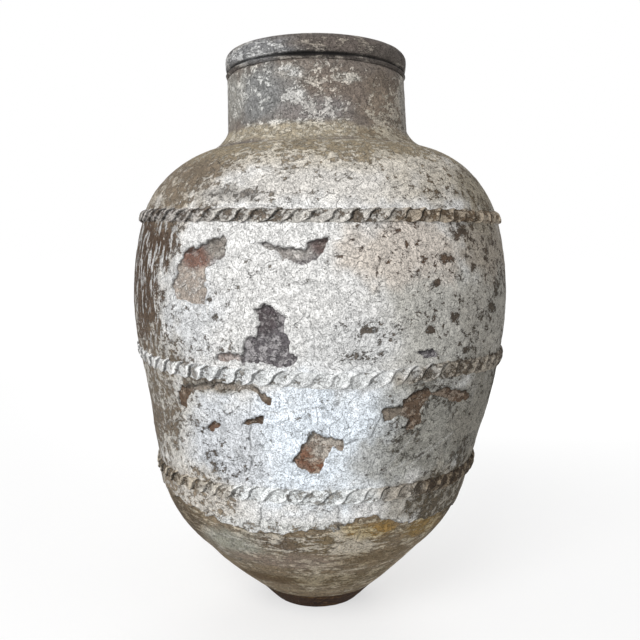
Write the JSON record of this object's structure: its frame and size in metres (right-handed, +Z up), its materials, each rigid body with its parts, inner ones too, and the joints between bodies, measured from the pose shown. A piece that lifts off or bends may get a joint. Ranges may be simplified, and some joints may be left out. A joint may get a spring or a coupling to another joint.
{
  "type": "olive jar",
  "caption": "Tall ovoid earthenware storage jar with a short neck, rolled rim, small flat foot and twisted clay rope bands over its seams, under flaking limewash.",
  "frame": {"origin": "centre of the foot's underside, on the surface that the jar stands on", "axes": "+Z up along the jar's axis, -Y towards the viewer of the picture"},
  "size_m": [0.678, 0.6779, 1],
  "materials": {
    "foot_clay": "matt, dark, worn",
    "lower_clay": "matt, stained",
    "wall_clay": "matt, stained",
    "neck_clay": "matt, weathered",
    "rope_clay": "matt, limewashed",
    "limewash": "chalky, flaking"
  },
  "bodies": {
    "root": {"foot_slab": "foot_clay", "base_cone": "lower_clay", "lower_wall": "lower_clay", "lower_belly": "wall_clay", "upper_belly": "wall_clay", "shoulder": "wall_clay", "neck_collar": "neck_clay", "rim_roll": "neck_clay", "lower_rope": "rope_clay", "middle_rope": "rope_clay", "upper_rope": "rope_clay", "lower_wall_limewash": "limewash", "lower_belly_limewash": "limewash", "upper_belly_limewash": "limewash", "shoulder_limewash": "limewash"}
  },
  "joints": []
}
